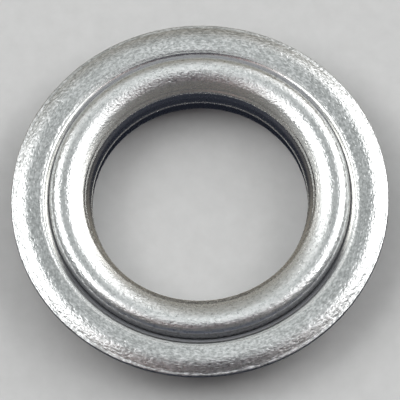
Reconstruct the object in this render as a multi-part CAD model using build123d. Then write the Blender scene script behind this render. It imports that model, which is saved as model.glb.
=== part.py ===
from build123d import *

import math
import os

# A set two-piece grommet, washer side up, lying on its face flange.
# All sizes in millimetres. Origin: on the grommet's axis, at the face flange's
# flat ring, which is the lowest point. +Z runs along the axis to the rolled end.

# ---- driving dimensions -----------------------------------------------------
BORE_R = 6.0            # inside radius of the barrel at its throat
BARREL_T = 0.38         # sheet thickness of the eyelet
WASHER_T = 0.35         # sheet thickness of the washer
WASHER_R = 10.5         # outer radius of the washer's flange
WASHER_RIM_Z = 2.1      # height of the washer's rim above the face
WASHER_HOLE_R = 6.72    # hole in the washer, clear of the barrel
FACE_R = 9.8            # outer radius of the hidden face flange
LAND_IN_R = 7.1         # flat ring that the face rests on, inner radius
LAND_OUT_R = 8.3        # flat ring, outer radius
FACE_RIM_ANGLE = 60.0   # how far the face flange turns up at its rim, degrees
ROLL_R = 8.365          # outer radius of the rolled end
TIP_Z = 0.330           # height of the rolled tip's centre over the washer's rim

Z0 = WASHER_RIM_Z


def lift(points):
    """(radius, height over the washer's rim) to a point of the section."""
    return [(r, 0, Z0 + z) for r, z in points]


def turned(edges):
    """The closed section on the XZ plane, turned once round the axis."""
    return revolve(make_face(edges), axis=Axis.Z)


def direction(degrees):
    return (math.cos(math.radians(degrees)), 0, math.sin(math.radians(degrees)))


# ---- eyelet: face flange, barrel and rolled end, one drawn sheet -------------
# Hidden face flange: flat ring, a large fillet into the bore, and an arc that
# turns the rim up towards the washer.
fillet_r = LAND_IN_R - BORE_R                    # outside of the bend into the bore
dome_r = (FACE_R - LAND_OUT_R) / math.sin(math.radians(FACE_RIM_ANGLE))
s, c = math.sin(math.radians(FACE_RIM_ANGLE)), math.cos(math.radians(FACE_RIM_ANGLE))
sm, cm = math.sin(math.radians(FACE_RIM_ANGLE / 2)), math.cos(math.radians(FACE_RIM_ANGLE / 2))
face_rim = (FACE_R, 0, dome_r * (1 - c))
face_rim_top = (FACE_R - BARREL_T * s, 0, dome_r * (1 - c) + BARREL_T * c)
q = math.sqrt(0.5)

# The visible side of the rolled end, from the throat over the crest and down
# the outer wall.
THROAT_Z = Z0 - 0.40
roll_out = lift([
    (6.0, -0.40), (6.05, -0.17), (6.105, 0.08), (6.160, 0.30), (6.205, 0.43),
    (6.27, 0.515), (6.38, 0.600), (6.48, 0.677), (6.58, 0.749), (6.70, 0.828),
    (6.84, 0.912), (7.0, 0.998), (7.18, 1.078), (7.36, 1.134),
    (7.556, 1.160), (7.76, 1.138), (7.97, 1.058), (8.13, 0.945),
    (8.25, 0.790), (8.335, 0.590), (ROLL_R, 0.40),
])
tip_c = (ROLL_R - BARREL_T / 2, TIP_Z)
tip_out = lift([(ROLL_R, tip_c[1])])[0]
tip_low = lift([(tip_c[0], tip_c[1] - BARREL_T / 2)])[0]
tip_in = lift([(ROLL_R - BARREL_T, tip_c[1])])[0]
# The hidden side of the same sheet.
roll_in = lift([
    (ROLL_R - BARREL_T, 0.39), (7.945, 0.52), (7.84, 0.650), (7.70, 0.745),
    (7.53, 0.782), (7.32, 0.757), (7.08, 0.655), (6.88, 0.520), (6.70, 0.355),
    (6.58, 0.15), (6.49, -0.10), (6.43, -0.38),
    (BORE_R + BARREL_T, -0.66),
])

eyelet_edges = [
    # outside of the face flange, from the bore down and out to the rim
    Line((BORE_R, 0, THROAT_Z), (BORE_R, 0, fillet_r)),
    ThreePointArc(
        (BORE_R, 0, fillet_r),
        (LAND_IN_R - fillet_r * q, 0, fillet_r - fillet_r * q),
        (LAND_IN_R, 0, 0),
    ),
    Line((LAND_IN_R, 0, 0), (LAND_OUT_R, 0, 0)),
    ThreePointArc(
        (LAND_OUT_R, 0, 0),
        (LAND_OUT_R + dome_r * sm, 0, dome_r * (1 - cm)),
        face_rim,
    ),
    # the rim's cut edge, slightly rounded
    ThreePointArc(
        face_rim,
        (
            FACE_R - BARREL_T * s / 2 + 0.05 * c,
            0,
            face_rim[2] + BARREL_T * c / 2 + 0.05 * s,
        ),
        face_rim_top,
    ),
    # upper side of the face flange, back to the barrel
    ThreePointArc(
        face_rim_top,
        (
            LAND_OUT_R + (dome_r - BARREL_T) * sm,
            0,
            dome_r - (dome_r - BARREL_T) * cm,
        ),
        (LAND_OUT_R, 0, BARREL_T),
    ),
    Line((LAND_OUT_R, 0, BARREL_T), (LAND_IN_R, 0, BARREL_T)),
    ThreePointArc(
        (LAND_IN_R, 0, BARREL_T),
        (
            LAND_IN_R - (fillet_r - BARREL_T) * q,
            0,
            fillet_r - (fillet_r - BARREL_T) * q,
        ),
        (BORE_R + BARREL_T, 0, fillet_r),
    ),
    Line((BORE_R + BARREL_T, 0, fillet_r), roll_in[-1]),
    # the rolled end: hidden side, tip, visible side
    Spline(*reversed(roll_in), tangents=[direction(80), direction(-90)]),
    Line(roll_in[0], tip_in),
    ThreePointArc(tip_in, tip_low, tip_out),
    Line(tip_out, roll_out[-1]),
    Spline(*reversed(roll_out), tangents=[direction(90), direction(-111)]),
]
eyelet = turned(eyelet_edges)

# ---- washer: domed flange, dished down under the rolled end ------------------
# From the rim over the dome, down the dished inner edge to the flat ring that
# lies under the roll.
dome_top = lift([
    (10.45, 0.078), (10.27, 0.164), (10.111, 0.256), (9.889, 0.360),
    (9.667, 0.430), (9.444, 0.463), (9.222, 0.470), (9.00, 0.464),
    (8.86, 0.452), (8.75, 0.431), (8.66, 0.402), (8.58, 0.367),
])
dish_top = lift([
    (8.58, 0.367), (8.48, 0.317), (8.38, 0.243), (8.24, 0.040), (8.10, -0.192),
    (7.99, -0.335), (7.88, -0.40),
])
flat_top = lift([(7.88, -0.40), (WASHER_HOLE_R + 0.05, -0.40)])
dome_under = lift([
    (10.36, -0.235), (10.15, -0.168), (9.93, -0.062), (9.57, 0.077),
    (9.22, 0.119), (9.02, 0.112), (8.86, 0.086),
])
dish_under = lift([
    (8.86, 0.086), (8.74, 0.034), (8.65, -0.048), (8.53, -0.222),
    (8.40, -0.430), (8.26, -0.640), (8.02, -0.75),
])
flat_under = lift([(8.02, -0.75), (WASHER_HOLE_R + 0.05, -0.75)])

washer_edges = [
    Spline(*dome_top, tangents=[direction(153), direction(205)]),
    Spline(*dish_top, tangents=[direction(205), direction(180)]),
    Line(flat_top[0], flat_top[1]),
    # the punched hole, its edge slightly rounded
    ThreePointArc(
        flat_top[1],
        (WASHER_HOLE_R, 0, Z0 - 0.40 - WASHER_T / 2),
        flat_under[1],
    ),
    Line(flat_under[1], flat_under[0]),
    Spline(*reversed(dish_under), tangents=[direction(0), direction(17)]),
    Spline(*reversed(dome_under), tangents=[direction(17), direction(-12)]),
    # the blanked rim, rounded
    ThreePointArc(dome_under[0], (WASHER_R, 0, Z0 - 0.05), dome_top[0]),
]
washer = turned(washer_edges)

os.makedirs("parts", exist_ok=True)
for name, shape in (("eyelet", eyelet), ("washer", washer)):
    export_step(shape, f"parts/{name}.step")
    box = shape.bounding_box()
    print(
        name,
        "volume mm3", round(shape.volume, 3),
        "low", [round(v, 3) for v in tuple(box.min)],
        "high", [round(v, 3) for v in tuple(box.max)],
    )
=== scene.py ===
import math

import bpy
import numpy as np
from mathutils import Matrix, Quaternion, Vector


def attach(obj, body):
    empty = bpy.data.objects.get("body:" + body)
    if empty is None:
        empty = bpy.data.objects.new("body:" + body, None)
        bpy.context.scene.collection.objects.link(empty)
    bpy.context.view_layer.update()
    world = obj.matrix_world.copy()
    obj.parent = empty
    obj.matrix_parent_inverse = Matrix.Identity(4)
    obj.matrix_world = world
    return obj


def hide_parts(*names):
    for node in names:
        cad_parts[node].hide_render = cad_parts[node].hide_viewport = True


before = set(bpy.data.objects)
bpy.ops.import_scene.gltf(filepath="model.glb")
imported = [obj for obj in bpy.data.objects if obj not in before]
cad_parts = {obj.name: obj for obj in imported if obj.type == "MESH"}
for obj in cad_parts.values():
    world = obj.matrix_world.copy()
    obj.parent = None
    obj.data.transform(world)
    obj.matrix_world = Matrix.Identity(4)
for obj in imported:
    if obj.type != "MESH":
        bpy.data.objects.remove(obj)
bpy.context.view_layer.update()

# The grommet as photographed: eyelet and washer as fine turned sheet-metal
# meshes with the orange-peel relief of satin nickel plate, a pale floor and a
# soft studio. Everything is in metres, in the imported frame.

MM = 0.001
Z0 = 2.1                 # height of the washer's rim over the floor, mm


# ---- camera: 21.8 degrees off the grommet's axis, from the -Y side ------------
TILT = math.radians(21.79)
DIST = 0.420
FIELD = 22.23 * MM       # width of the frame at the washer's rim
cam_data = bpy.data.cameras.new("camera")
cam_data.sensor_width = 36.0
cam_data.lens = 36.0 * DIST / FIELD
cam_data.clip_start, cam_data.clip_end = 0.01, 20.0
cam_data.shift_x = 0.0003
cam_data.shift_y = -0.0003
cam = bpy.data.objects.new("camera", cam_data)
bpy.context.scene.collection.objects.link(cam)
back = Vector((0.0, -math.sin(TILT), math.cos(TILT)))
cam.rotation_mode = "QUATERNION"
cam.location = Vector((0, 0, Z0 * MM)) + back * DIST
cam.rotation_quaternion = (-back).to_track_quat("-Z", "Y") @ Quaternion(
    (0, 0, 1), math.radians(-2.62)
)
bpy.context.scene.camera = cam


# ---- sections ----------------------------------------------------------------
def arc(cx, cz, r, a0, a1, n):
    a = np.radians(np.linspace(a0, a1, n))
    return np.stack([cx + r * np.cos(a), cz + r * np.sin(a)], 1)


def spline(points, t0=None, t1=None):
    """Dense cubic through the points, by chord length, with end directions in degrees."""
    p = np.asarray(points, float)
    d = np.r_[0, np.cumsum(np.hypot(*np.diff(p, axis=0).T))]
    n = len(p)
    h = np.diff(d)
    A = np.zeros((n, n))
    b = np.zeros((n, 2))
    for i in range(1, n - 1):
        A[i, i - 1], A[i, i], A[i, i + 1] = h[i], 2 * (h[i - 1] + h[i]), h[i - 1]
        b[i] = 3 * (h[i] * (p[i] - p[i - 1]) / h[i - 1] + h[i - 1] * (p[i + 1] - p[i]) / h[i])
    for row, ang, sgn in ((0, t0, 1), (n - 1, t1, -1)):
        if ang is not None:
            A[row, row] = 1
            b[row] = (math.cos(math.radians(ang)), math.sin(math.radians(ang)))
        else:
            A[row, row], A[row, row + sgn] = 2, 1
            k = 0 if row == 0 else n - 2
            b[row] = 3 * (p[k + 1] - p[k]) / h[k]
    m = np.linalg.solve(A, b)
    out = []
    for i in range(n - 1):
        t = np.linspace(0, 1, 25)[:-1, None]
        out.append(
            (2 * t**3 - 3 * t**2 + 1) * p[i]
            + (t**3 - 2 * t**2 + t) * h[i] * m[i]
            + (-2 * t**3 + 3 * t**2) * p[i + 1]
            + (t**3 - t**2) * h[i] * m[i + 1]
        )
    out.append(p[-1:])
    return np.concatenate(out)


def even(curve, step):
    """The curve's points at an even spacing of about step."""
    d = np.r_[0, np.cumsum(np.hypot(*np.diff(curve, axis=0).T))]
    n = max(2, int(round(d[-1] / step)) + 1)
    s = np.linspace(0, d[-1], n)
    return np.stack([np.interp(s, d, curve[:, 0]), np.interp(s, d, curve[:, 1])], 1)


def section(*parts):
    """Joins (curve, step, shown) pieces into one closed loop, and says which points are on a shown side."""
    pts, shown = [], []
    for curve, step, flag in parts:
        e = even(np.asarray(curve, float), step)[:-1]
        pts.append(e)
        shown.append(np.full(len(e), flag))
    return np.concatenate(pts), np.concatenate(shown)


# ---- relief --------------------------------------------------------------------
def peel(rows, cols, step_s, step_a, wave, spread, seed):
    """Even noise, one unit rms slope, bumps about wave wide and twice as long, periodic round the ring."""
    rng = np.random.default_rng(seed)
    pad = 24
    w = rng.standard_normal((rows + 2 * pad, cols))
    fs = np.fft.fftfreq(rows + 2 * pad, step_s)[:, None]
    fa = np.fft.fftfreq(cols, step_a)[None, :]
    f = np.hypot(fs, fa * 2.0)
    band = np.exp(-(((f - 1 / wave) / (spread / wave)) ** 2))
    g = np.fft.ifft2(np.fft.fft2(w) * band).real[pad:-pad]
    ds = np.gradient(g, step_s, axis=0)
    return g / math.sqrt(2 * float((ds**2).mean()))


def turned(name, pts, shown, n, relief, extra=None):
    """Turns the closed section round the axis into a mesh, with relief along its normals."""
    m = len(pts)
    ang = np.arange(n) * (2 * math.pi / n)
    nxt, prv = np.roll(pts, -1, 0), np.roll(pts, 1, 0)
    tan = nxt - prv
    tan /= np.hypot(*tan.T)[:, None] + 1e-12
    nor = np.stack([tan[:, 1], -tan[:, 0]], 1)
    area = 0.5 * float((pts[:, 0] * nxt[:, 1] - nxt[:, 0] * pts[:, 1]).sum())
    if area < 0:
        nor = -nor
    off = np.zeros((m, n)) if relief is None else relief(pts, nor, ang)
    r = pts[:, 0][:, None] + nor[:, 0][:, None] * off
    z = pts[:, 1][:, None] + nor[:, 1][:, None] * off
    if extra is not None:
        r, z = extra(r, z, pts, ang)
    co = np.stack([r * np.cos(ang), r * np.sin(ang), z], -1).reshape(-1, 3) * MM
    i = np.arange(m)[:, None]
    j = np.arange(n)[None, :]
    i2, j2 = (i + 1) % m, (j + 1) % n
    quad = np.stack([i * n + j, i * n + j2, i2 * n + j2, i2 * n + j], -1).reshape(-1, 4)
    if area > 0:
        quad = quad[:, ::-1]
    mesh = bpy.data.meshes.new(name)
    mesh.vertices.add(len(co))
    mesh.vertices.foreach_set("co", co.astype(np.float32).ravel())
    mesh.loops.add(quad.size)
    mesh.loops.foreach_set("vertex_index", quad.astype(np.int32).ravel())
    mesh.polygons.add(len(quad))
    mesh.polygons.foreach_set("loop_start", np.arange(0, quad.size, 4, dtype=np.int32))
    mesh.polygons.foreach_set("use_smooth", np.ones(len(quad), bool))
    mesh.update(calc_edges=True)
    mesh.validate()
    obj = bpy.data.objects.new(name, mesh)
    bpy.context.scene.collection.objects.link(obj)
    return obj


def bell(x, width):
    return np.exp(-((x / width) ** 2))


def gap(a, centre):
    """Signed angle from centre, in radians."""
    return (a - math.radians(centre) + math.pi) % (2 * math.pi) - math.pi


# ---- eyelet --------------------------------------------------------------------
BORE_R, T = 6.0, 0.38
roll_low = spline(
    [(r, Z0 + z) for r, z in (
        (6.0, -0.62), (6.0, -0.49), (5.996, -0.44), (6.006, -0.412), (6.040, -0.392),
        (6.050, -0.35), (6.056, -0.27), (6.066, -0.17), (6.105, 0.08), (6.160, 0.30), (6.182, 0.39),
        (6.208, 0.452), (6.247, 0.499), (6.31, 0.547), (6.38, 0.600), (6.48, 0.677),
        (6.58, 0.749), (6.70, 0.828))],
    90, 32.5,
)
roll = spline(
    [(r, Z0 + z) for r, z in (
        (6.70, 0.828), (6.84, 0.912), (7.0, 0.998), (7.18, 1.078), (7.36, 1.134),
        (7.556, 1.160), (7.76, 1.138), (7.97, 1.058), (8.13, 0.945),
        (8.25, 0.790), (8.325, 0.62), (8.358, 0.49), (8.365, 0.40), (8.365, 0.33))],
    32.5, -90,
)
hidden = spline(
    [(r, Z0 + z) for r, z in (
        (7.985, 0.39), (7.945, 0.52), (7.84, 0.650), (7.70, 0.745),
        (7.53, 0.782), (7.32, 0.757), (7.08, 0.655), (6.88, 0.520), (6.70, 0.355),
        (6.58, 0.15), (6.49, -0.10), (6.43, -0.38), (6.38, -0.66))],
    90, -100,
)
FACE_R, FACE_A = 9.8, math.radians(60)
sf, cf = math.sin(FACE_A), math.cos(FACE_A)
dome_r = (FACE_R - 8.3) / sf
ez = dome_r * (1 - cf)
tip = (8.175, Z0 + 0.33)
STEP_E = 0.050
e_pts, e_shown = section(
    (roll_low, 0.027, 1),
    (roll, STEP_E, 1),
    (arc(tip[0], tip[1], T / 2, 0, -180, 12), 0.08, 0),
    ([(7.985, tip[1]), (7.985, Z0 + 0.39)], 0.15, 0),
    (hidden, 0.26, 0),
    ([(6.38, Z0 - 0.66), (6.38, 1.1)], 0.4, 0),
    (arc(7.1, 1.1, 0.72, 180, 270, 12), 0.28, 0),
    ([(7.1, T), (8.3, T)], 0.6, 0),
    (arc(8.3, dome_r, dome_r - T, 270, 330, 14), 0.3, 0),
    (spline([(FACE_R - T * sf, ez + T * cf), (FACE_R - T * sf * 0.72, ez + T * cf + 0.02),
             (FACE_R - T * sf * 0.30 + 0.01, ez + T * cf * 0.62 + 0.035),
             (FACE_R - 0.002, ez + 0.055), (FACE_R - 0.012, ez - 0.02)], 60, -118), 0.07, 0),
    (arc(8.3, dome_r, dome_r, 329.2, 270, 30), 0.12, 0),
    ([(8.3, 0.0), (7.1, 0.0)], 0.6, 0),
    (arc(7.1, 1.1, 1.1, 270, 180, 30), 0.14, 0),
    ([(6.0, 1.1), (6.0, Z0 - 0.62)], 0.2, 0),
)
N_E = int(98000 / len(e_pts))


def eyelet_relief(pts, nor, ang):
    rows = len(pts)
    visible = (nor[:, 1] > -0.05) & (pts[:, 1] > Z0 - 0.34) & (pts[:, 0] > 5.99)
    k = np.convolve(visible.astype(float), np.ones(5) / 5, "same")
    a = 2 * math.pi * 7.5 / len(ang)
    g = peel(rows, len(ang), STEP_E, a, 0.16, 0.45, 11)
    steep = np.clip((nor[:, 1] - 0.2) / 0.55, 0, 1)
    out = g * math.radians(PEEL_E) * (k * (0.25 + 0.75 * steep))[:, None]
    # the sheet is a little uneven round the roll, as a hand press leaves it
    for f, amp, ph in ((2, 0.006, 0.7), (3, 0.004, 2.1), (5, 0.0025, 4.0), (9, 0.0012, 1.0)):
        out += amp * np.cos(f * ang + ph)[None, :] * (k * steep)[:, None]
    # a small pit on the far side of the crest, and a short curved scratch near the front
    d1 = np.hypot((pts[:, 0][:, None] - 7.25), 7.25 * gap(ang, 89.6)[None, :])
    out -= 0.010 * bell(d1, 0.055) * visible[:, None]
    d2 = np.hypot((pts[:, 0][:, None] - 7.43), 7.5 * gap(ang, 269.0)[None, :])
    ring = bell(d2 - 0.17, 0.035) * (gap(ang, 270.3)[None, :] > -0.02)
    out += 0.004 * ring * visible[:, None]
    return out


PEEL_E, PEEL_W = 2.4, 3.2        # rms slope of the orange peel, degrees


def eyelet_extra(r, z, pts, ang):
    # the inner edge was flared unevenly: a little higher and further in near the front
    s, h = pts[:, 0], pts[:, 1] - Z0
    edge = (np.clip((6.80 - s) / 0.30, 0, 1) * np.clip((h - 0.05) / 0.35, 0, 1))[:, None]
    r = r + (0.030 * np.sin(ang))[None, :] * edge
    far = np.clip((np.sin(ang) - 0.4) / 0.4, 0, 1)[None, :]
    z = z - (0.008 * bell(s - 6.37, 0.05) * (h > 0.4))[:, None] * far
    # and the shoulder lies a little further out to both sides
    r = r + 0.11 * (bell(s - 6.25, 0.13) * np.clip((h - 0.1) / 0.25, 0, 1))[:, None] * (np.cos(ang) ** 2)[None, :]
    # tiny burrs along the throat's edge
    rng = np.random.default_rng(5)
    edge = bell(np.hypot(pts[:, 0] - 6.0, pts[:, 1] - (Z0 - 0.40)), 0.06)[:, None]
    for c, h in zip(rng.uniform(95, 165, 14), rng.uniform(0.004, 0.016, 14)):
        r = r - h * edge * bell(gap(ang, c), 0.007)[None, :]
    r = r - 0.022 * edge * bell(gap(ang, 111.0), 0.008)[None, :]
    return r, z


eyelet = turned("eyelet_turned", e_pts, e_shown, N_E, eyelet_relief, eyelet_extra)

# ---- washer --------------------------------------------------------------------
STEP_W = 0.046
w_top = spline(
    [(r, Z0 + z) for r, z in (
        (10.475, 0.080), (10.44, 0.102), (10.385, 0.114), (10.33, 0.132),
        (10.27, 0.164), (10.19, 0.211), (10.111, 0.256), (9.889, 0.360),
        (9.667, 0.430), (9.444, 0.463), (9.222, 0.470), (9.10, 0.469), (9.00, 0.464),
        (8.90, 0.458), (8.82, 0.449), (8.75, 0.437), (8.69, 0.420), (8.63, 0.391),
        (8.56, 0.351), (8.50, 0.314), (8.44, 0.271), (8.38, 0.215), (8.32, 0.142),
        (8.24, 0.014), (8.16, -0.120), (8.07, -0.258), (7.98, -0.355), (7.88, -0.40))],
    140, 180,
)
w_under = spline(
    [(r, Z0 + z) for r, z in (
        (8.02, -0.75), (8.25, -0.650), (8.40, -0.455), (8.51, -0.296), (8.655, -0.122),
        (8.78, -0.015), (8.90, 0.068), (9.05, 0.110), (9.22, 0.119), (9.57, 0.077),
        (9.93, -0.062), (10.15, -0.168), (10.38, -0.235))],
    0, -10,
)
rim = spline(
    [(10.38, Z0 - 0.235), (10.452, Z0 - 0.182), (10.492, Z0 - 0.08),
     (10.50, Z0 + 0.01), (10.475, Z0 + 0.080)],
    20, 140,
)
w_pts, w_shown = section(
    (w_top, STEP_W, 1),
    ([(7.88, Z0 - 0.40), (6.80, Z0 - 0.40)], 0.6, 0),
    (spline([(6.80, Z0 - 0.40), (6.72, Z0 - 0.47), (6.72, Z0 - 0.68), (6.80, Z0 - 0.75)], 190, -10), 0.09, 0),
    ([(6.80, Z0 - 0.75), (8.02, Z0 - 0.75)], 0.6, 0),
    (w_under, 0.26, 0),
    (rim, 0.04, 1),
)
N_W = int(98000 / len(w_pts))


def washer_relief(pts, nor, ang):
    rows = len(pts)
    visible = (nor[:, 1] > 0.1) & (pts[:, 0] > 8.3)
    k = np.convolve(visible.astype(float), np.ones(5) / 5, "same")
    a = 2 * math.pi * 9.4 / len(ang)
    g = peel(rows, len(ang), STEP_W, a, 0.16, 0.45, 23)
    # the dished inner slope was drawn smooth
    soft = np.clip((pts[:, 0] - 8.76) / 0.16, 0, 1)
    # low rings left by turning, a fifth of a millimetre apart
    rings = 0.0010 * np.cos(2 * math.pi * (pts[:, 0] - 9.055) / 0.222) * bell(pts[:, 0] - 9.15, 0.42)
    out = g * math.radians(PEEL_W) * (k * (0.12 + 0.88 * soft))[:, None]
    # faint turned streaks along the flange, stronger on two stretches
    rng = np.random.default_rng(31)
    line = np.interp(
        pts[:, 0], np.linspace(8.8, 10.5, 60), rng.standard_normal(60))
    where = 0.25 + 1.0 * bell(gap(ang, 38), 0.42) + 0.6 * bell(gap(ang, 128), 0.35)
    out += 0.0011 * line[:, None] * where[None, :] * (k * soft)[:, None]
    out += rings[:, None] * (0.75 + 0.25 * np.cos(2 * ang))[None, :] * (k * soft)[:, None]
    for f, amp, ph in ((2, 0.004, 1.9), (3, 0.003, 0.4), (7, 0.0015, 2.2)):
        out += amp * np.cos(f * ang + ph)[None, :] * (k * soft)[:, None]
    return out


def washer_extra(r, z, pts, ang):
    # the crest's edge steps in a little at one place
    edge = bell(pts[:, 0] - 8.80, 0.09)[:, None] * (pts[:, 1] > Z0)[:, None]
    step = 0.5 * (1 + np.tanh(gap(ang, 145.7) / 0.012)) * bell(gap(ang, 150), 0.25)
    r = r + 0.018 * edge * step[None, :]
    # a bright burr on the far edge of the rim
    at_rim = bell(np.hypot(pts[:, 0] - 10.47, pts[:, 1] - (Z0 + 0.02)), 0.07)[:, None]
    z = z + 0.05 * at_rim * bell(gap(ang, 90.6), 0.0075)[None, :]
    return r, z


washer = turned("washer_turned", w_pts, w_shown, N_W, washer_relief, washer_extra)


# ---- materials -----------------------------------------------------------------
class Nodes:
    def __init__(self, tree):
        self.tree = tree
        self.link = tree.links.new

    def add(self, kind, **values):
        n = self.tree.nodes.new(kind)
        for k, v in values.items():
            setattr(n, k, v)
        return n

    def put(self, socket, value):
        if isinstance(value, bpy.types.NodeSocket):
            self.link(value, socket)
        else:
            socket.default_value = value

    def math(self, op, a, b=0.0, c=0.0, clamp=False):
        n = self.add("ShaderNodeMath", operation=op, use_clamp=clamp)
        for s, v in zip(n.inputs, (a, b, c)):
            self.put(s, v)
        return n.outputs[0]

    def span(self, x, a, b, lo=0.0, hi=1.0, smooth=True):
        n = self.add("ShaderNodeMapRange")
        n.interpolation_type = "SMOOTHSTEP" if smooth else "LINEAR"
        n.clamp = True
        for s, v in zip(n.inputs[:5], (x, a, b, lo, hi)):
            self.put(s, v)
        return n.outputs[0]

    def noise(self, vector, scale, detail=2.0, rough=0.5):
        n = self.add("ShaderNodeTexNoise")
        self.put(n.inputs["Vector"], vector)
        n.inputs["Scale"].default_value = scale
        n.inputs["Detail"].default_value = detail
        n.inputs["Roughness"].default_value = rough
        return n.outputs[0]

    def ramp(self, x, stops):
        n = self.add("ShaderNodeValToRGB")
        e = n.color_ramp.elements
        while len(e) < len(stops):
            e.new(0.5)
        for el, (p, col) in zip(e, stops):
            el.position = p
            el.color = (*col, 1.0)
        self.put(n.inputs[0], x)
        return n.outputs[0]

    def mix(self, f, a, b, blend="MIX"):
        n = self.add("ShaderNodeMix", data_type="RGBA", blend_type=blend)
        self.put(n.inputs["Factor"], f)
        for s, v in ((n.inputs[6], a), (n.inputs[7], b)):
            self.put(s, v if isinstance(v, bpy.types.NodeSocket) else (*v, 1.0))
        return n.outputs[2]


def nickel(name, kind):
    """Satin nickel plate: tone, roughness and fine grain vary over the surface."""
    mat = bpy.data.materials.new(name)
    mat.use_nodes = True
    t = Nodes(mat.node_tree)
    bsdf = mat.node_tree.nodes["Principled BSDF"]
    # the fine grain spreads light more round the ring than across it
    bsdf.inputs["Anisotropic"].default_value = 0.85 if kind == "eyelet" else 0.65
    tang = t.add("ShaderNodeTangent", direction_type="RADIAL", axis="Z")
    t.link(tang.outputs[0], bsdf.inputs["Tangent"])
    pos = t.add("ShaderNodeTexCoord").outputs["Object"]
    sep = t.add("ShaderNodeSeparateXYZ")
    t.link(pos, sep.inputs[0])
    x, y, z = sep.outputs
    rad = t.math("SQRT", t.math("ADD", t.math("MULTIPLY", x, x), t.math("MULTIPLY", y, y)))
    ang = t.math("ARCTAN2", y, x)
    # grain at three scales: cloudy plate, orange peel, fine satin; the finer
    # two are drawn out round the ring
    ring = t.add("ShaderNodeCombineXYZ")
    t.put(ring.inputs[0], rad)
    t.put(ring.inputs[1], t.math("MULTIPLY", ang, 0.0050 if kind == "eyelet" else 0.0046))
    t.put(ring.inputs[2], z)
    cloud = t.noise(pos, 420.0, 3.0, 0.55)
    grain = t.noise(ring.outputs[0], 7000.0, 2.0, 0.55)
    fine = t.noise(ring.outputs[0], 12000.0, 2.0, 0.5)
    # a streaky coordinate: long round the ring, short along the section
    comb = t.add("ShaderNodeCombineXYZ")
    t.put(comb.inputs[0], t.math("MULTIPLY", rad, 14000.0))
    t.put(comb.inputs[1], t.math("MULTIPLY", ang, 7.0))
    t.put(comb.inputs[2], t.math("MULTIPLY", z, 14000.0))
    streak = t.noise(comb.outputs[0], 1.0, 2.0, 0.6)
    # across the ring: short folds left by flaring the barrel
    comb2 = t.add("ShaderNodeCombineXYZ")
    t.put(comb2.inputs[0], t.math("MULTIPLY", ang, 75.0))
    t.put(comb2.inputs[1], t.math("MULTIPLY", z, 700.0))
    folds = t.noise(comb2.outputs[0], 1.0, 2.0, 0.5)
    if kind == "eyelet":
        # burnished bore and inner wall, satin crest
        satin = t.span(rad, 0.00655, 0.00690)
        wall = t.span(z, (Z0 + 0.45) * MM, (Z0 + 0.85) * MM)
        satin = t.math("MULTIPLY", satin, wall)
        # painted shade: the bore below the throat is darkened as if in shade
        painted_bore_shade = t.math("MULTIPLY", t.span(z, (Z0 - 0.36) * MM, (Z0 - 0.50) * MM), 0.75)
        # painted shade at the foot of the roll's outer wall, in the groove
        painted_groove_shade = t.math("MULTIPLY", t.span(rad, 0.00818, 0.00828), t.span(
            z, (Z0 + 0.84) * MM, (Z0 + 0.70) * MM))
        # painted shade, strongest towards -Y
        painted_groove_shade = t.math("MULTIPLY", painted_groove_shade, t.span(t.math("DIVIDE", y, rad), -0.15, -0.55))
    else:
        satin = t.span(rad, 0.00874, 0.00892)
        painted_bore_shade = 0.0
        # painted shade in the groove, a little wider towards +Y and -Y
        wide = t.span(t.math("ABSOLUTE", t.math("DIVIDE", y, rad)), 0.35, 0.75, 0.0, 0.00013)
        painted_groove_shade = t.span(t.math("SUBTRACT", rad, wide), 0.00852, 0.00841)
    parts = (0.44, 0.44, 0.0) if kind == "eyelet" else (0.33, 0.42, 0.13)
    speck = t.math("ADD", t.math("MULTIPLY", cloud, 0.12), t.math("MULTIPLY", streak, parts[2]))
    speck = t.math("ADD", speck, t.math(
        "ADD", t.math("MULTIPLY", grain, parts[0]), t.math("MULTIPLY", fine, parts[1])))
    level = 1.20 if kind == "eyelet" else 0.99
    swing = 0.12 if kind == "eyelet" else 0.080
    tone = t.ramp(speck, [
        (p, tuple(min(level * c, 0.98) for c in col)) for p, col in (
            (0.50 - swing, (0.550, 0.560, 0.555)), (0.50, (0.735, 0.748, 0.742)),
            (0.50 + swing, (0.985, 0.995, 0.990)))])
    plain = (0.790, 0.765, 0.715) if kind == "eyelet" else (0.86, 0.86, 0.84)
    warm = t.mix(t.math("MULTIPLY", t.math("SUBTRACT", 1.0, satin), 0.6), tone, plain)
    if kind == "washer":
        # painted highlight: the crest's inner edge is painted bright towards -Y
        painted_highlight = t.math("MULTIPLY", t.span(rad, 0.00868, 0.00876), t.span(rad, 0.00895, 0.00887))
        painted_highlight = t.math("MULTIPLY", painted_highlight, t.span(t.math("DIVIDE", y, rad), 0.25, -0.25))
        warm = t.mix(painted_highlight, warm, (0.985, 0.985, 0.975))
    # painted shade mixed into the colour: first the bore, then the groove
    colour_with_painted_shade = t.mix(painted_bore_shade, warm, (0.27, 0.28, 0.31))
    colour_with_painted_shade = t.mix(t.math("MULTIPLY", painted_groove_shade, 0.9), colour_with_painted_shade, (0.12, 0.125, 0.14) if kind == "eyelet" else (0.34, 0.35, 0.38))
    # the painted groove shade also lowers Metallic
    t.link(t.span(painted_groove_shade, 0.0, 1.0, 1.0, 0.35, smooth=False), bsdf.inputs["Metallic"])
    t.link(colour_with_painted_shade, bsdf.inputs["Base Color"])
    rough = t.math("ADD", 0.21, t.math("MULTIPLY", grain, 0.12))
    rough = t.math("ADD", rough, t.math("MULTIPLY", streak, 0.05))
    rough = t.math("ADD", rough, t.math("MULTIPLY", t.math("SUBTRACT", satin, 1.0),
                                        0.02 if kind == "eyelet" else 0.07))
    t.link(rough, bsdf.inputs["Roughness"])
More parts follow.
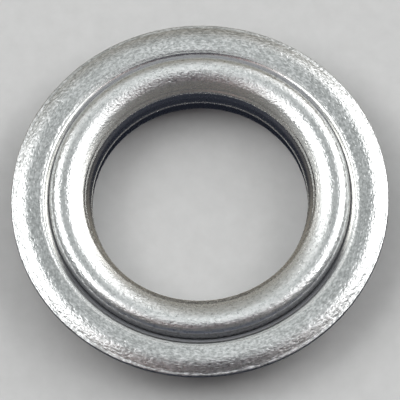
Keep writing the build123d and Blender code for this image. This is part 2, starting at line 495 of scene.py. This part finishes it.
    # fine grain as bump, over the mesh's own relief
    h = t.math("MULTIPLY", fine, t.math("ADD", 0.25, t.math("MULTIPLY", satin, 0.75)))
    h = t.math("ADD", h, t.math("MULTIPLY", grain, t.math("ADD", 0.15, t.math("MULTIPLY", satin, 1.0))))
    h = t.math("ADD", h, t.math("MULTIPLY", streak, t.math("ADD", 0.08, t.math(
        "MULTIPLY", satin, 0.27 if kind == "eyelet" else 0.14))))
    if kind == "eyelet":
        h = t.math("ADD", h, t.math("MULTIPLY", folds, t.math("MULTIPLY", t.math("SUBTRACT", 1.0, satin), 0.3)))
    bump = t.add("ShaderNodeBump")
    bump.inputs["Strength"].default_value = 1.0
    bump.inputs["Distance"].default_value = 0.0000160 if kind == "eyelet" else 0.0000190
    t.link(h, bump.inputs["Height"])
    t.link(bump.outputs[0], bsdf.inputs["Normal"])
    return mat


eyelet.data.materials.append(nickel("satin_nickel_eyelet", "eyelet"))
washer.data.materials.append(nickel("satin_nickel_washer", "washer"))
for piece, node, slot in (
    (eyelet, "eyelet", "satin_nickel_eyelet"),
    (washer, "washer", "satin_nickel_washer"),
):
    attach(piece, "root")
    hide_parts(node)


# ---- floor ---------------------------------------------------------------------
floor_mesh = bpy.data.meshes.new("floor")
half = 0.6
cuts = 24
gv = np.linspace(-half, half, cuts + 1)
vx, vy = np.meshgrid(gv, gv)
fv = [(float(a), float(b), 0.0) for a, b in zip(vx.ravel(), vy.ravel())]
ff = [
    (i * (cuts + 1) + j, i * (cuts + 1) + j + 1, (i + 1) * (cuts + 1) + j + 1, (i + 1) * (cuts + 1) + j)
    for i in range(cuts) for j in range(cuts)
]
floor_mesh.from_pydata(fv, [], ff)
floor = bpy.data.objects.new("floor", floor_mesh)
bpy.context.scene.collection.objects.link(floor)
floor.location.z = -0.00001
fmat = bpy.data.materials.new("pale_floor")
fmat.use_nodes = True
ft = Nodes(fmat.node_tree)
fb = fmat.node_tree.nodes["Principled BSDF"]
fpos = ft.add("ShaderNodeTexCoord").outputs["Object"]
fn = ft.noise(fpos, 900.0, 4.0, 0.6)
ft.link(ft.ramp(fn, [(0.3, (0.60, 0.60, 0.595)), (0.7, (0.64, 0.64, 0.635))]), fb.inputs["Base Color"])
fb.inputs["Roughness"].default_value = 0.9
fb.inputs["Specular IOR Level"].default_value = 0.2
floor.data.materials.append(fmat)
floor.visible_glossy = False


# ---- soft studio: a wide environment with two soft boxes --------------------------
world = bpy.data.worlds.new("studio")
bpy.context.scene.world = world
world.use_nodes = True
wt = Nodes(world.node_tree)
bg = world.node_tree.nodes["Background"]
wsep = wt.add("ShaderNodeSeparateXYZ")
wt.link(wt.add("ShaderNodeTexCoord").outputs["Generated"], wsep.inputs[0])
dx, dy, dz = wsep.outputs
den = wt.math("MAXIMUM", wt.math("ADD", dz, 1.0), 0.35)
u = wt.math("DIVIDE", dx, den)
v = wt.math("DIVIDE", dy, den)


def stop(vv):
    return (vv + 1.1) / 2.2


base = wt.ramp(wt.span(v, -1.1, 1.1, 0.0, 1.0, smooth=False), [
    (stop(-1.00), (0.060, 0.066, 0.092)),
    (stop(-0.72), (0.072, 0.078, 0.098)),
    (stop(-0.48), (0.165, 0.158, 0.150)),
    (stop(-0.30), (0.215, 0.212, 0.208)),
    (stop(-0.12), (0.40, 0.41, 0.41)),
    (stop(-0.02), (0.51, 0.525, 0.525)),
    (stop(0.20), (0.48, 0.505, 0.505)),
    (stop(0.42), (0.44, 0.455, 0.447)),
    (stop(0.62), (0.40, 0.40, 0.385)),
    (stop(0.82), (0.37, 0.36, 0.33)),
    (stop(1.00), (0.34, 0.33, 0.30)),
])
# duller to both sides of the middle, before the soft boxes
au = wt.math("ABSOLUTE", u)
side = wt.math("MULTIPLY", wt.span(au, 0.015, 0.10), wt.span(v, 0.62, 0.40))
base = wt.mix(side, base, wt.mix(1.0, base, (1.02, 1.03, 1.04), "MULTIPLY"))
# a dark patch, and two faint warm ones beside it
spot = wt.math("MULTIPLY", wt.span(wt.math("ABSOLUTE", wt.math("SUBTRACT", u, 0.03)), 0.22, 0.15), wt.math(
    "MULTIPLY", wt.span(v, -0.43, -0.36), wt.span(v, -0.06, -0.115)))
sky = wt.mix(spot, base, (0.030, 0.034, 0.050))
warm_l = wt.math("MULTIPLY", wt.span(wt.math("ABSOLUTE", wt.math("ADD", u, 0.20)), 0.08, 0.03),
                 wt.span(wt.math("ABSOLUTE", wt.math("ADD", v, 0.29)), 0.17, 0.06))
warm_r = wt.math("MULTIPLY", wt.span(wt.math("ABSOLUTE", wt.math("SUBTRACT", u, 0.25)), 0.08, 0.02),
                 wt.span(wt.math("ABSOLUTE", wt.math("ADD", v, 0.23)), 0.10, 0.03))
sky = wt.mix(wt.math("MULTIPLY", wt.math("MAXIMUM", warm_l, warm_r), 0.6), sky, (0.60, 0.31, 0.29))
tilt_l = wt.math("SUBTRACT", v, wt.math("MULTIPLY", wt.math("SUBTRACT", au, 0.28), 0.95))
tilt_r = wt.math("SUBTRACT", v, wt.math("MULTIPLY", wt.math("SUBTRACT", au, 0.28), 0.5))
left = wt.math("MULTIPLY", wt.span(u, -0.25, -0.36), wt.span(u, -0.70, -0.45))
left = wt.math("MULTIPLY", left, wt.math("MULTIPLY", wt.span(tilt_l, -0.30, -0.20), wt.span(
    wt.math("SUBTRACT", v, wt.math("MULTIPLY", wt.math("SUBTRACT", au, 0.25), 0.7)), 0.25, 0.13)))
right = wt.math("MULTIPLY", wt.span(u, 0.25, 0.36), wt.span(u, 0.84, 0.50))
right = wt.math("MULTIPLY", right, wt.math("MULTIPLY", wt.span(tilt_r, -0.20, -0.10), wt.span(v, 0.66, 0.46)))
sky = wt.mix(left, sky, (4.0, 4.0, 4.0))
sky = wt.mix(right, sky, (3.6, 3.6, 3.6))
# below the horizon: navy in front, grey at the sides, tan behind, near black straight down
low = wt.ramp(wt.span(dy, -1.0, 1.0, 0.0, 1.0, smooth=False), [
    (0.00, (0.080, 0.090, 0.125)),
    (0.32, (0.100, 0.105, 0.125)),
    (0.52, (0.175, 0.172, 0.165)),
    (0.80, (0.260, 0.245, 0.215)),
    (1.00, (0.270, 0.250, 0.215)),
])
down = wt.math("MULTIPLY", wt.span(dz, -0.05, -0.62), wt.span(dy, 0.52, 0.26))
low = wt.mix(down, low, (0.022, 0.025, 0.036))
sky = wt.mix(wt.span(dz, 0.05, -0.05), sky, low)
wt.link(sky, bg.inputs["Color"])
bg.inputs["Strength"].default_value = 1.0

# a broad soft key that only lights the floor, for the contact shadow
key_data = bpy.data.lights.new("key", "AREA")
key_data.shape = "RECTANGLE"
key_data.size, key_data.size_y = 0.30, 0.30
key_data.energy = 0.35
key = bpy.data.objects.new("key", key_data)
bpy.context.scene.collection.objects.link(key)
key.location = (-0.20, 0.22, 0.36)
key.rotation_mode = "QUATERNION"
key.rotation_quaternion = Vector(key.location).to_track_quat("Z", "Y")
key.visible_glossy = False
key.visible_camera = False

bpy.context.scene.view_settings.view_transform = "Standard"
bpy.context.scene.view_settings.look = "None"
bpy.context.scene.view_settings.exposure = 0.0
bpy.context.scene.view_settings.gamma = 1.0
